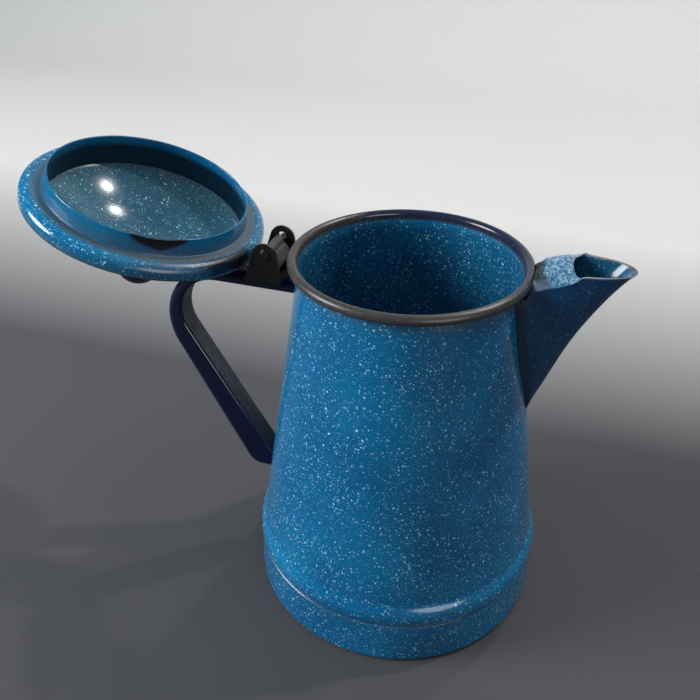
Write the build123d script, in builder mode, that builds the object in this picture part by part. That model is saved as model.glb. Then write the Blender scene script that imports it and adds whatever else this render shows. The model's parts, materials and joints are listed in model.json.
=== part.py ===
"""Enamelled steel coffee pot with a hinged lid, lying open on its handle.

Millimetres. The pot's axis is Z, the table is z = 0, the spout points along +X,
and the handle and the hinge are on the -X side. The lid is drawn shut and then
swung back to the position in which it rests.
"""
import os
from math import sqrt

from build123d import *

os.makedirs("parts", exist_ok=True)

# Sheet
sheet = 0.9                 # enamelled steel of the pot and the lid
hinge_sheet = 1.2           # bare steel of the bracket and the leaf
grip_sheet = 1.1            # steel of the hollow handle
moving_gap = 0.35           # air between pieces that move past each other

# Body
body_height = 181.7         # table to the middle of the rolled rim
neck_radius = 50.0          # outside of the wall under the rim
rim_roll = 2.95             # outside radius of the rolled edge
rim_turn = 295.0            # how far round the rim is rolled, in degrees
crease_radius = 73.6        # outside of the wall at the crease
pan_height = 24.6           # table to the crease between pan and body
pan_shoulder = 0.5          # how far the pan stands out under the crease
foot_spread = 1.6           # how far the foot stands out of the crease
foot_round = 2.6            # rounding of the foot
lap = 6.0                   # how far the pan reaches up inside the body
swell_height = 4.4          # crease to the fullest point of the swelling
swell_end = 11.4            # crease to the end of the swelling
swell_out = 1.6             # how far the swelling stands out of the cone

# Spout: level outlines as (depth under the lip, reach out of the wall, half width
# at the wall, half width at the shoulder, half width of the blunt nose)
spout_levels = (
    (76.0, 0.66, 1.8, 1.3, 1.0),
    (67.5, 4.43, 3.6, 2.7, 2.0),
    (53.5, 11.34, 6.2, 4.8, 2.8),
    (39.5, 18.24, 8.2, 6.6, 3.9),
    (25.5, 26.44, 9.3, 8.2, 5.4),
    (12.5, 35.29, 10.7, 10.0, 7.6),
    (0.0, 45.97, 12.9, 12.4, 9.6),
)
lip_over_body = 9.8         # lip of the spout over the middle of the rim
spout_sheet = 0.9
spout_root = 1.0            # how far the spout is drawn inside the wall
spout_flare = 7.0           # rounding where the spout runs into the wall
flare_share = 0.45          # most of the reach that this rounding may take
shoulder_share = 0.62       # part of the reach at which the shoulder lies
roof_rise = ((-1.0, -4.6), (9.0, 5.6), (23.0, 10.2))    # crown, out of the neck and over the rim
roof_arches = ((0.0, 17.0), (0.65, 17.0), (1.0, 90.0))     # (place along the crown, radius across)
roof_half = 14.0            # half width of the arched part of the roof
roof_side = 24.0            # half width of the cut that makes the roof
mouth_back = 19.0           # neck to the beginning of the open part of the spout
mouth_side = 25.0           # neck to where the edge of the roof reaches the sides
mouth_half = 13.0           # half width of that open part
strainer_hole = 4.2         # diameter of the holes behind the spout
strainer_pitch = 6.0
strainer_rows = (3, 2, 3, 2, 1, 2, 1)   # holes in each row, from the top
strainer_drop = 6.2         # middle of the rim to the top row
cut_length = 20.0           # length of the cuts, more than what they go through

# Handle
grip_width = 13.0
grip_round_out = 4.2        # rounding of the outer edges
grip_round_in = 1.8         # rounding of the inner edges
grip_drop = 16.4            # middle of the rim to the run that carries the hinge
grip_depth = 6.4            # thickness of that run
grip_lift = 19.9            # crease to the lower end of the handle
grip_reach = 81.7           # neck to the upper inner corner, before it is rounded
grip_back = 14.1            # from there to the upper outer corner
grip_end_out = 13.0         # wall to the lower outer corner
grip_end_in = 8.7           # lower end to where the inner face meets the wall
grip_bend_out = 32.4        # radius of the upper bend outside
grip_bend_in = 20.8         # radius of the upper bend inside
grip_bend_end = 9.0         # radius of the lower bend
grip_welded = 12.0          # length next to the neck that keeps its square edges
finger_room = 35.0          # neck to the middle of the space for the fingers
strip_width = 8.6           # flat strip let into the inner face

# Lid
collar_depth = 7.6          # free edge of the collar to the lowest level of the band
collar_play = 1.3           # radial air between the collar and the mouth
collar_taper = 1.2          # how much narrower the free edge is than the root
lid_overhang = 2.4          # how far the lid reaches out over the rim
band_width = 5.6            # edge of the lid to the flat seat next to the collar
band_radius = 4.0           # rounding of the band
band_height = 5.8           # lowest level of the band to the seam with the top sheet
shoulder_width = 10.4       # edge of the lid to the dome
shoulder_rise = 2.4         # seam to the foot of the dome
dome_rise = 17.2            # foot of the dome to its top
knob_radius = 11.5
knob_fullest = 11.2         # top of the dome to the fullest part of the knob
knob_height = 22.5
knob_neck = 6.6
knob_neck_height = 2.8
knob_foot = 8.2
knob_foot_height = 0.8

# Hinge
axis_out = 8.2              # edge of the lid to the axis
axis_drop = 1.9             # middle of the rim to the level of the axis
pin_radius = 1.2
pin_play = 0.05             # radial air between the pin and the leaf
pin_head = 2.4
pin_end = 0.8               # how far the plain end stands out of the far ear
ear_radius = 6.2
ear_drop = 0.8              # axis to the middle of the ears' round tops
ear_hole = 1.9              # worn hole, at whose bottom the pin lies
ear_gap = 20.6              # between the inner faces of the ears
plate_back = 10.9           # axis to the end of the plate away from the pot
plate_front = 7.6           # axis to the end of the plate next to the pot
leaf_width = 14.0
bend_radius = 6.7           # outside of the half turn in the leaf
bend_set = 0.3              # how far the middle of that turn lies behind the axis
bend_turn = 170.0
leaf_reach = 9.0            # how far the leaf reaches in from the edge of the lid
open_angle = 161.9          # from shut to lying on the stop

# Values that follow
taper = (crease_radius - neck_radius) / (body_height - pan_height)
mouth_radius = neck_radius - sheet
rim_radius = mouth_radius + 2 * rim_roll
rim_middle = (mouth_radius + rim_roll, body_height)
rim_top_z = body_height + rim_roll
foot_radius = crease_radius + foot_spread
fullest_z = pan_height + swell_height
grip_top_z = body_height - grip_drop
grip_under_z = grip_top_z - grip_depth
grip_foot_z = pan_height + grip_lift
lid_radius = rim_radius + lid_overhang
shoulder_radius = lid_radius - shoulder_width
seat_z = rim_top_z + moving_gap
collar_radius = mouth_radius - collar_play
seam_z = seat_z + band_height
edge_top_z = seam_z + sheet
foot_z = edge_top_z + shoulder_rise
dome_top_z = foot_z + dome_rise
axis_x = -(lid_radius + axis_out)
axis_z = body_height - axis_drop
ear_hole_z = axis_z + ear_hole - pin_radius
ear_outside = ear_gap / 2 + hinge_sheet
plate_length = plate_back + plate_front
plate_middle_x = axis_x + (plate_front - plate_back) / 2


def cone_radius(z):
    """Outside radius of the tapered wall at height z."""
    return neck_radius + taper * (body_height - z)


def grip_line(out):
    """Outer or inner face of the slanting run of the handle, as two points."""
    if out:
        upper = (-neck_radius - grip_reach - grip_back, grip_top_z)
        lower = (-cone_radius(grip_foot_z) - grip_end_out, grip_foot_z)
    else:
        upper = (-neck_radius - grip_reach, grip_under_z)
        lower = (-cone_radius(grip_foot_z + grip_end_in), grip_foot_z + grip_end_in)
    return upper, lower


def swing_open(piece):
    """Swing a piece of the lid from shut to lying open."""
    return piece.rotate(Axis((axis_x, 0, axis_z), (0, 1, 0)), -open_angle)


def save(piece, name):
    piece.label = name
    export_step(piece, f"parts/{name}.step")


def wall_line(inset):
    """Outline of the wall from the crease up to the neck."""
    end_z = pan_height + swell_end
    swelling = ThreePointArc(
        (crease_radius - inset, pan_height),
        (cone_radius(fullest_z) + swell_out - inset, fullest_z),
        (cone_radius(end_z) - inset, end_z),
    )
    Line(swelling @ 1, (neck_radius - inset, body_height))


# Space taken by the body, which trims whatever is welded to it
with BuildPart() as body_space:
    with BuildSketch(Plane.XZ):
        with BuildLine():
            wall_line(0)
            Polyline(
                (neck_radius, body_height),
                (rim_middle[0], rim_top_z),
                (0, rim_top_z),
                (0, pan_height),
                (crease_radius, pan_height),
            )
        make_face()
        with Locations(rim_middle):
            Circle(rim_roll)
    revolve(axis=Axis.Z)


# Base pan: a shallow cup whose wall laps up inside the body
with BuildPart() as base_pan:
    with BuildSketch(Plane.XZ):
        with BuildLine():
            flat_radius = foot_radius - foot_round
            lap_radius = crease_radius - sheet
            Line((0, 0), (flat_radius, 0))
            RadiusArc((flat_radius, 0), (foot_radius, foot_round), -foot_round)
            Polyline(
                (foot_radius, foot_round),
                (crease_radius + pan_shoulder, pan_height - pan_shoulder),
                (crease_radius, pan_height),
                (lap_radius, pan_height),
                (lap_radius, pan_height + lap),
                (lap_radius - sheet, pan_height + lap),
                (lap_radius - sheet, pan_height - sheet),
                (foot_radius - sheet, foot_round),
            )
            inner_round = foot_round - sheet
            RadiusArc((foot_radius - sheet, foot_round), (flat_radius, sheet), inner_round)
            Polyline((flat_radius, sheet), (0, sheet), (0, 0))
        make_face()
    revolve(axis=Axis.Z)
save(base_pan.part, "base_pan")


# Body wall: a tapered tube, swollen over the crease, rolled outward at the rim,
# with the strainer holes behind the spout
with BuildPart() as body_wall:
    with BuildSketch(Plane.XZ):
        with BuildLine():
            wall_line(0)
            wall_line(sheet)
            Line((crease_radius - sheet, pan_height), (crease_radius, pan_height))
            outside = CenterArc(rim_middle, rim_roll, 180, -rim_turn)
            inside = CenterArc(rim_middle, rim_roll - sheet, 180, -rim_turn)
            Line(outside @ 1, inside @ 1)
        make_face()
    revolve(axis=Axis.Z)
    for row, count in enumerate(strainer_rows):
        hole_z = body_height - strainer_drop - row * strainer_pitch
        with Locations((cone_radius(hole_z), 0, hole_z)):
            with GridLocations(1, strainer_pitch, 1, count):
                Cylinder(strainer_hole / 2, cut_length, rotation=(0, 90, 0), mode=Mode.SUBTRACT)
save(body_wall.part, "body_wall")


def spout_solid(inset):
    """The spout as a solid; the inset one is the channel inside its sheet."""
    with BuildPart() as solid:
        for depth, reach, half_width, shoulder, blunt in spout_levels:
            level = body_height + lip_over_body - depth
            radius = cone_radius(level)
            side = half_width - inset
            nose = radius + reach - inset
            wall_x = sqrt(radius**2 - half_width**2)
            flare = min(spout_flare, flare_share * (radius + reach - wall_x))
            back = sqrt(radius**2 - (side + flare) ** 2) - spout_root - inset
            with BuildSketch(Plane.XY.offset(level)):
                with BuildLine():
                    Line((back, side + flare), (back, -side - flare))
                    for y in (1, -1):
                        Bezier(
                            (back, y * (side + flare)),
                            (wall_x + flare / 4, y * side),
                            (wall_x + flare, y * side),
                        )
                        Bezier(
                            (wall_x + flare, y * side),
                            (wall_x + shoulder_share * (nose - wall_x), y * (shoulder - inset)),
                            (nose, y * (blunt - inset / 2)),
                            (nose, 0),
                        )
                make_face()
        loft()
    return solid.part


def above_roof(drop):
    """Everything over the arched roof of the spout, lowered by drop."""
    with BuildPart() as block:
        with BuildLine(Plane.XZ):
            crown = ThreePointArc(
                *[(neck_radius + out, body_height + rise - drop) for out, rise in roof_rise]
            )
        for place, arch in roof_arches:
            across = Plane(origin=crown @ place, x_dir=(0, 1, 0), z_dir=crown % place)
            fall = arch - sqrt(arch**2 - roof_half**2)
            with BuildSketch(across):
                with BuildLine():
                    ThreePointArc((-roof_half, -fall), (0, 0), (roof_half, -fall))
                    Polyline(
                        (roof_half, -fall),
                        (roof_side, -fall),
                        (roof_side, cut_length),
                        (-roof_side, cut_length),
                        (-roof_side, -fall),
                        (-roof_half, -fall),
                    )
                make_face()
        sweep(path=crown, multisection=True)
    return block.part


# Cut that leaves the roof over the channel of the spout, but not over its mouth
with BuildPart() as roof_space:
    add(above_roof(spout_sheet))
    with BuildSketch(Plane.XY.offset(body_height)):
        with BuildLine():
            back_x = neck_radius + mouth_back
            side_x = neck_radius + mouth_side
            ThreePointArc((side_x, -mouth_half), (back_x, 0), (side_x, mouth_half))
            Polyline(
                (side_x, mouth_half),
                (side_x + 2 * cut_length, mouth_half),
                (side_x + 2 * cut_length, -mouth_half),
                (side_x, -mouth_half),
            )
        make_face()
    extrude(amount=cut_length, both=True, mode=Mode.SUBTRACT)

with BuildPart() as spout_channel:
    add(spout_solid(spout_sheet))
    add(roof_space.part, mode=Mode.SUBTRACT)


# Spout: a folded shell that widens towards the mouth, roofed next to the rim
with BuildPart() as spout_shell:
    add(spout_solid(0))
    add(above_roof(0), mode=Mode.SUBTRACT)
    add(spout_channel.part, mode=Mode.SUBTRACT)
    add(body_space.part, mode=Mode.SUBTRACT)
save(spout_shell.part, "spout_shell")


def finger_gap(grow):
    """Side view of the space inside the handle, grown into the handle."""
    with BuildSketch(Plane.XZ) as gap:
        with BuildLine():
            upper, lower = grip_line(out=False)
            Polyline(
                (-neck_radius, grip_under_z),
                upper,
                lower,
                (-neck_radius, lower[1]),
                close=True,
            )
        make_face()
        fillet(gap.vertices().sort_by(Axis.X)[0], grip_bend_in)
        if grow:
            offset(amount=grow)
    return gap.sketch


def grip_edges(solid, half, outward):
    """Long edges of the handle on the faces that look away from its middle, or at it."""
    middle = Vector(-neck_radius - finger_room, 0, (grip_top_z + grip_foot_z) / 2)
    edges = ShapeList()
    for face in solid.faces():
        normal = face.normal_at()
        if abs(normal.Y) < 0.5 and face.center().X < -neck_radius - grip_welded:
            if ((face.center() - middle).dot(normal) > 0) == outward:
                edges += face.edges().filter_by(lambda e: abs(abs(e.center().Y) - half) < 0.01)
    return edges


def grip_solid(inset):
    """The handle as a solid; the inset one is its hollow."""
    with BuildPart() as solid:
        with BuildSketch(Plane.XZ) as outline:
            with BuildLine():
                upper, lower = grip_line(out=True)
                outside = FilletPolyline(
                    (-neck_radius, grip_top_z),
                    upper,
                    lower,
                    (-neck_radius, grip_foot_z),
                    radius=(grip_bend_out, grip_bend_end),
                )
                Line(outside @ 1, outside @ 0)
            make_face()
            if inset:
                offset(amount=-inset)
            add(finger_gap(inset), mode=Mode.SUBTRACT)
        half = grip_width / 2 - inset
        extrude(amount=half, both=True)
        fillet(grip_edges(solid, half, outward=True), grip_round_out - inset)
        if not inset:
            fillet(grip_edges(solid, half, outward=False), grip_round_in)
    return solid.part


# Strip let into the inner face of the handle
with BuildPart() as handle_strip:
    with BuildSketch(Plane.XZ):
        add(finger_gap(grip_sheet))
        add(finger_gap(0), mode=Mode.SUBTRACT)
    extrude(amount=strip_width / 2, both=True)
    add(body_space.part, mode=Mode.SUBTRACT)
save(handle_strip.part, "handle_strip")


# Handle: a hollow grip of pressed steel, bent over at the top
with BuildPart() as handle_shell:
    add(grip_solid(0))
    add(grip_solid(grip_sheet), mode=Mode.SUBTRACT)
    add(handle_strip.part, mode=Mode.SUBTRACT)
    add(body_space.part, mode=Mode.SUBTRACT)
save(handle_shell.part, "handle_shell")


# Hinge bracket: a plate on the handle with two ears turned up
with BuildPart() as hinge_bracket:
    with BuildSketch(Plane.XY.offset(grip_top_z)):
        with Locations((plate_middle_x, 0)):
            Rectangle(plate_length, 2 * ear_outside)
    extrude(amount=hinge_sheet)
    for ear_side in (-ear_outside + hinge_sheet, ear_outside):
        with BuildSketch(Plane.XZ.offset(-ear_side)):
            with Locations((axis_x, axis_z - ear_drop)):
                Circle(ear_radius)
            with Locations((plate_middle_x, grip_top_z + hinge_sheet / 2)):
                Rectangle(plate_length, hinge_sheet)
            make_hull()
            with Locations((axis_x, ear_hole_z)):
                Circle(ear_hole, mode=Mode.SUBTRACT)
        extrude(amount=hinge_sheet)
save(hinge_bracket.part, "hinge_bracket")


# Hinge pin: a wire with one head, lying at the bottom of the holes in the ears
with BuildPart() as hinge_pin:
    with BuildSketch(Plane.XZ.offset(-ear_outside - pin_end)):
        with Locations((axis_x, axis_z)):
            Circle(pin_radius)
    extrude(amount=2 * ear_outside + pin_end)
    with BuildSketch(Plane.XZ.offset(ear_outside)):
        with Locations((axis_x, axis_z)):
            Circle(pin_head)
    extrude(amount=hinge_sheet)
    fillet(hinge_pin.edges().sort_by(Axis.Y)[0], pin_end)
save(hinge_pin.part, "hinge_pin")


# Top sheet of the lid: a flat shoulder round a dome
def dome_line(drop):
    """Upper face of the top sheet, or the lower face one sheet down."""
    foot = (shoulder_radius, foot_z - drop)
    dome_radius = (shoulder_radius**2 + dome_rise**2) / (2 * dome_rise)
    Line((lid_radius, edge_top_z - drop), foot)
    RadiusArc(foot, (0, dome_top_z - drop), -dome_radius)


with BuildPart() as lid_dome:
    with BuildSketch(Plane.XZ):
        with BuildLine():
            dome_line(0)
            dome_line(sheet)
            Line((lid_radius, edge_top_z), (lid_radius, edge_top_z - sheet))
            Line((0, dome_top_z), (0, dome_top_z - sheet))
        make_face()
    revolve(axis=Axis.Z)

with BuildPart() as dome_space:
    with BuildSketch(Plane.XZ):
        with BuildLine():
            dome_line(0)
            Polyline(
                (lid_radius, edge_top_z),
                (lid_radius, seam_z),
                (0, seam_z),
                (0, dome_top_z),
            )
        make_face()
    revolve(axis=Axis.Z)


# Collar of the lid: a tube that hangs into the mouth, with the seat over the rim
# and the rounded band that carries the edge of the top sheet
with BuildPart() as lid_collar:
    with BuildSketch(Plane.XZ):
        with BuildLine():
            seat_end = lid_radius - band_width
            band_x = lid_radius - band_radius
            band_z = seat_z + band_radius
            groove_z = band_z - sqrt(band_radius**2 - (band_x - seat_end) ** 2)
            free_z = seat_z - collar_depth
            tube_top_z = foot_z - sheet / 2
            Polyline(
                (collar_radius, tube_top_z),
                (collar_radius, groove_z + sheet),
                (seat_end, groove_z + sheet),
            )
            Polyline(
                (collar_radius, tube_top_z),
                (collar_radius - sheet, tube_top_z),
                (collar_radius - sheet, groove_z),
                (collar_radius - sheet - collar_taper, free_z),
                (collar_radius - collar_taper, free_z),
                (collar_radius, groove_z),
                (seat_end, groove_z),
            )
            RadiusArc((seat_end, groove_z), (lid_radius, band_z), -band_radius)
            Polyline(
                (lid_radius, band_z),
                (lid_radius, seam_z),
                (lid_radius - sheet, seam_z),
                (lid_radius - sheet, band_z),
            )
            inner_round = band_radius - sheet / 2
            RadiusArc((lid_radius - sheet, band_z), (seat_end, groove_z + sheet), inner_round)
        make_face()
    revolve(axis=Axis.Z)
    add(lid_dome.part, mode=Mode.SUBTRACT)
save(swing_open(lid_dome.part), "lid_dome")
save(swing_open(lid_collar.part), "lid_collar")


# Knob: a turned ball on a short neck
with BuildPart() as knob:
    with BuildSketch(Plane.XZ):
        with BuildLine():
            neck_z = dome_top_z + knob_neck_height
            crown_z = dome_top_z + knob_height
            Polyline(
                (0, foot_z),
                (knob_foot, foot_z),
                (knob_foot, dome_top_z + knob_foot_height),
                (knob_neck, neck_z),
            )
            Spline(
                (knob_neck, neck_z),
                (knob_radius, dome_top_z + knob_fullest),
                (0, crown_z),
                tangents=((0.2, 1), (-1, 0)),
            )
            Line((0, crown_z), (0, foot_z))
        make_face()
    revolve(axis=Axis.Z)
    add(dome_space.part, mode=Mode.SUBTRACT)
save(swing_open(knob.part), "knob")


# Leaf of the hinge: a strip on the lid that makes half a turn and ends in an eye
with BuildPart() as lid_leaf:
    with BuildSketch(Plane.XZ):
        with BuildLine():
            half_sheet = hinge_sheet / 2
            slope = shoulder_rise / shoulder_width
            turn_x = axis_x - bend_set
            turn_z = edge_top_z + hinge_sheet - bend_radius
            Polyline(
                (-lid_radius + leaf_reach, edge_top_z + half_sheet + leaf_reach * slope),
                (-lid_radius, edge_top_z + half_sheet),
                (turn_x, edge_top_z + half_sheet),
            )
            CenterArc((turn_x, turn_z), bend_radius - half_sheet, 90, bend_turn)
        trace(line_width=hinge_sheet)
        with Locations((axis_x, axis_z)):
            Circle(pin_radius + pin_play + hinge_sheet)
            Circle(pin_radius + pin_play, mode=Mode.SUBTRACT)
    extrude(amount=leaf_width / 2, both=True)
    add(dome_space.part, mode=Mode.SUBTRACT)
save(swing_open(lid_leaf.part), "lid_leaf")
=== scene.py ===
# %% [markdown]
# # A speckled enamel coffee pot
#
# The pot is pressed and rolled sheet steel under a skin of glass. Its hard facts, such
# as where the wall ends and where the hinge turns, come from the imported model. This
# script adds what the eye needs: smooth turned surfaces, the rolled rim, welds, speckles,
# and the wear of many years on a stove. Lengths below are in millimetres until they
# reach Blender, which works in metres.

# %% Load the frame
import json
import math

import bmesh
import bpy
import numpy as np
from mathutils import Matrix, Vector


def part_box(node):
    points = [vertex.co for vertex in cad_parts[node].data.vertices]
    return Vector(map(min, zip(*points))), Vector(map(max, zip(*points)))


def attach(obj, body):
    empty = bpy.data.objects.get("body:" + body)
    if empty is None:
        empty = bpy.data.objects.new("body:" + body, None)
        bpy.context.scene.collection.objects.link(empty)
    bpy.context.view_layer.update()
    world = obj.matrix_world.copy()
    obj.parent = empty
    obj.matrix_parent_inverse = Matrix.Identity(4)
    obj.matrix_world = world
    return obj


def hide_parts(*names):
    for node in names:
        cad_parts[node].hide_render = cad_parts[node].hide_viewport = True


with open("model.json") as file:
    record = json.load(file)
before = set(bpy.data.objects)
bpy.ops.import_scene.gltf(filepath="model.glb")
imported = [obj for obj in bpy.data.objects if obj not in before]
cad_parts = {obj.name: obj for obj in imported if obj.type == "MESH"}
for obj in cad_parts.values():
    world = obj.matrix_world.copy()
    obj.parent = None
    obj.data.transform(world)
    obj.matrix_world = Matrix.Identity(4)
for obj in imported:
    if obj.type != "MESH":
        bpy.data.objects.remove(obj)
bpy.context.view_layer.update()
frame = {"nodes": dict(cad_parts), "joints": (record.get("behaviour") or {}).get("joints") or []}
MM = 0.001
NODES = frame["nodes"]
print("nodes:", ", ".join(sorted(NODES)))

# %% [markdown]
# ## Measures
#
# The frame gives every level and radius of the turned pieces, so that a change of size
# in the model carries over. A box tells the outermost places of a node. What a box can't
# tell, such as the radius of the neck, is named here in the same words as in the model.
# The roll is drawn a little slimmer than the solid one, flush with its outside and top.

# %% Measures
SHEET = 0.9
CREASE_R, NECK_R, RIM_R = 73.6, 50.0, 55.0
ROLL_R = 2.3


def box_mm(node):
    """Lowest and highest corner of a node in millimetres."""
    low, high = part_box(node)
    return low / MM, high / MM


FOOT_R = box_mm("base_pan")[1].x
wall_low, wall_high = box_mm("body_wall")
CREASE_Z = wall_low.z
ROLL_SOLID_R = (RIM_R - NECK_R + SHEET) / 2
RIM_Z = wall_high.z - ROLL_SOLID_R
ROLL_MIDDLE = (RIM_R - ROLL_R, RIM_Z + ROLL_SOLID_R - ROLL_R)
TAPER = (CREASE_R - NECK_R) / (RIM_Z - CREASE_Z)
print(f"rim at {RIM_Z:.1f} mm, crease at {CREASE_Z:.1f} mm, foot radius {FOOT_R:.1f} mm")


def cone_r(z):
    """Outside radius of the wall at height z."""
    return NECK_R + TAPER * (RIM_Z - z)


# %% [markdown]
# The lid is easiest to draw shut, because its axis is then the pot's own. The hinge in
# the frame says how far it swings open, which is how the model rests.

# %% Hinge
hinge = frame["joints"][0]
HINGE = Vector(hinge["pos_m"])
OPEN_BY = math.radians(hinge["range_deg"][1])
SWING_OPEN = (
    Matrix.Translation(HINGE)
    @ Matrix.Rotation(-OPEN_BY, 4, Vector(hinge["axis"]))
    @ Matrix.Translation(-HINGE)
)
print(f"the lid swings {math.degrees(OPEN_BY):.1f} degrees")

# %% [markdown]
# ## Sums on sockets
#
# A finish is arithmetic: this dot where that noise is high, less grime near the rim.
# Blender wants a node for every sum, so one small class wraps a socket and lets Python's
# own operators lay the nodes. The shader then reads like the sentence it stands for.
# Every node comes from one function, which sets a node's own settings first and then its
# inputs, by number where Blender gives two inputs the same name.

# %% Adding a node


def feed(tree, slot, value):
    """Links a wire to an input, or sets the input to a plain value."""
    if isinstance(value, Wire):
        tree.links.new(value.socket, slot)
    elif slot.type == "RGBA":
        slot.default_value = (*value, 1.0)
    else:
        slot.default_value = value


def add_node(tree, kind, settings=None, numbered=(), output=0, **named):
    """Adds a node, and gives one of its outputs back as a wire."""
    node = tree.nodes.new(kind)
    for key, value in (settings or {}).items():
        setattr(node, key, value)
    for key, value in [*numbered, *named.items()]:
        slot = key.replace("_", " ") if isinstance(key, str) else key
        feed(tree, node.inputs[slot], value)
    return Wire(tree, node.outputs[output])


# %% Wire, a socket that does sums


class Wire:
    """A socket in a shader. Sums and products of wires add the Math nodes they need."""

    def __init__(self, tree, socket):
        self.tree = tree
        self.socket = socket

    def math(self, operation, *values, clamp=False):
        return add_node(self.tree, "ShaderNodeMath",
                        {"operation": operation, "use_clamp": clamp}, enumerate(values))

    def __add__(self, other):
        return self.math("ADD", self, other)

    def __radd__(self, other):
        return self.math("ADD", other, self)

    def __sub__(self, other):
        return self.math("SUBTRACT", self, other)

    def __rsub__(self, other):
        return self.math("SUBTRACT", other, self)

    def __mul__(self, other):
        return self.math("MULTIPLY", self, other)

    def __rmul__(self, other):
        return self.math("MULTIPLY", other, self)

    def __truediv__(self, other):
        return self.math("DIVIDE", self, other)

    def either(self, other):
        """The larger of two masks."""
        return self.math("MAXIMUM", self, other)

    def squared(self):
        return self.math("MULTIPLY", self, self)

    def root(self):
        return self.math("SQRT", self)

    def clamp(self):
        return self.math("ADD", self, 0.0, clamp=True)

    def step(self, low, high):
        """Rises softly from 0 at low to 1 at high, or falls if low is the larger."""
        return add_node(self.tree, "ShaderNodeMapRange",
                        {"interpolation_type": "SMOOTHSTEP"}, output="Result",
                        Value=self, From_Min=low, From_Max=high)

    def beside(self, output):
        """Another output of the same node."""
        return Wire(self.tree, self.socket.node.outputs[output])


# %% [markdown]
# ## A finish
#
# Each material starts as Blender's Principled shader and one wire, the place on the mesh
# in millimetres. Noise, masks and bumps are then a word each. Colours are blended by a Mix
# node, because a Math node would turn them grey. A Mix node has sockets for numbers,
# vectors and colours under the same names, so its colour sockets are picked by number.

# %% Finish, a material under construction
COLOUR_A, COLOUR_B, COLOUR_OUT = 6, 7, 2


def mix_colours(tree, factor, a, b):
    """Colour a where factor is 0, colour b where it is 1."""
    return add_node(tree, "ShaderNodeMix", {"data_type": "RGBA"},
                    [(COLOUR_A, a), (COLOUR_B, b)], output=COLOUR_OUT, Factor=factor)


class Finish:
    """A material under construction."""

    def __init__(self, name):
        self.material = bpy.data.materials.new(name)
        self.material.use_nodes = True
        self.tree = self.material.node_tree
        self.shader = self.tree.nodes["Principled BSDF"]
        coords = self.node("ShaderNodeTexCoord", output="Object")
        self.place = self.vector("SCALE", coords, Scale=1 / MM)

    def node(self, kind, settings=None, numbered=(), output=0, **named):
        return add_node(self.tree, kind, settings, numbered, output, **named)

    def vector(self, operation, *vectors, **named):
        return self.node("ShaderNodeVectorMath", {"operation": operation},
                         enumerate(vectors), **named)

    def split(self, kind, value):
        """The three parts of a vector or of a colour."""
        first = self.node(kind, numbered=[(0, value)])
        return first, first.beside(1), first.beside(2)

    def noise(self, size, detail=2.0, rough=0.5):
        """Cloudy noise whose lumps are about size millimetres across."""
        return self.node("ShaderNodeTexNoise", Vector=self.place,
                         Scale=1 / size, Detail=detail, Roughness=rough)

    def mask(self, name):
        """A mask painted on the mesh, one number per corner point."""
        return self.node("ShaderNodeAttribute", {"attribute_name": name}, output="Fac")

    def mix(self, factor, a, b):
        return mix_colours(self.tree, factor, a, b)

    def bump(self, height, strength, distance, **over):
        """Bumps for the Normal input, distance millimetres high, over another Normal."""
        return self.node("ShaderNodeBump", Height=height, Strength=strength,
                         Distance=distance * MM, **over)

    def set(self, **values):
        for key, value in values.items():
            feed(self.tree, self.shader.inputs[key.replace("_", " ")], value)
        return self.material


# %% [markdown]
# ## Speckled enamel
#
# Speckleware is dipped in coloured glass and, while that is wet, spattered with white.
# The drops come in all sizes, so three sets of Voronoi cells are laid over each other,
# and a cell shows a drop only if its own random colour says so. A cloud of noise bends
# the cells, or the drops would be perfect discs, and another thins them out in patches.

# %% Drops
PALE = (0.42, 0.80, 0.98)
BEND = 0.35


def drops(finish, size, biggest, share):
    """Mask of round drops in cells of size millimetres; share of the cells hold one."""
    warp = finish.node("ShaderNodeTexNoise", output="Color", Vector=finish.place,
                       Scale=1 / size, Detail=1.0)
    shifted = finish.vector("SUBTRACT", warp, (0.5, 0.5, 0.5))
    shift = finish.vector("SCALE", shifted, Scale=BEND * size * 2)
    spot = finish.vector("ADD", finish.place, shift)
    distance = finish.node("ShaderNodeTexVoronoi", output="Distance",
                           Vector=spot, Scale=1 / size)
    lucky, spread, _ = finish.split("ShaderNodeSeparateColor", distance.beside("Color"))
    radius = (0.35 + 0.65 * spread) * biggest
    return (radius - distance).step(0.0, 0.12) * lucky.step(share + 0.02, share - 0.02)


def speckle(finish, amount=1.0):
    """All the white spatter, thinner in some patches than in others."""
    patches = finish.noise(14.0, 3.0).step(0.30, 0.62) * 0.5 + 0.5
    big = drops(finish, size=2.3, biggest=0.29, share=0.55)
    middle = drops(finish, size=1.4, biggest=0.35, share=0.66)
    fine = drops(finish, size=0.8, biggest=0.40, share=0.66)
    mist = finish.noise(0.35, 2.0).step(0.60, 0.80)
    return (big.either(middle * 0.85).either(fine * 0.45) * patches
            + mist * 0.10 * patches).clamp() * amount


# %% [markdown]
# The glass itself is a smooth gloss with the faint ripple of orange peel. One recipe makes
# every enamel of the pot, and masks painted on a piece say where it is dirty, stained,
# darkened as painted shade or chipped to the iron. On the roll of the rim the glass is worn:
# noise sets where its navy glaze is left and where it is rubbed to grey.

# %% Enamel
IRON = (0.012, 0.011, 0.011)
# Olive grey for grime, also used for painted shade on the wall beside the spout.
GRIME_AND_SHADE = (0.082, 0.082, 0.060)
# Near-black, used for a real stain and for painted shade inside the lid's tube.
DARK_STAIN_AND_SHADE = (0.002, 0.005, 0.012)
NAVY_GLASS, DULL_GLASS = (0.010, 0.014, 0.042), (0.034, 0.040, 0.075)
RUBBED_DARK, RUBBED = (0.032, 0.029, 0.030), (0.066, 0.063, 0.064)
GLASS_IOR, GLOSS, EDGE_ROUND = 1.5, 0.12, 0.35


def round_edges(finish):
    """Normal that rounds the sharp edges of the model where light would catch them."""
    return finish.node("ShaderNodeBevel", {"samples": 6}, Radius=EDGE_ROUND * MM)


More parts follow.
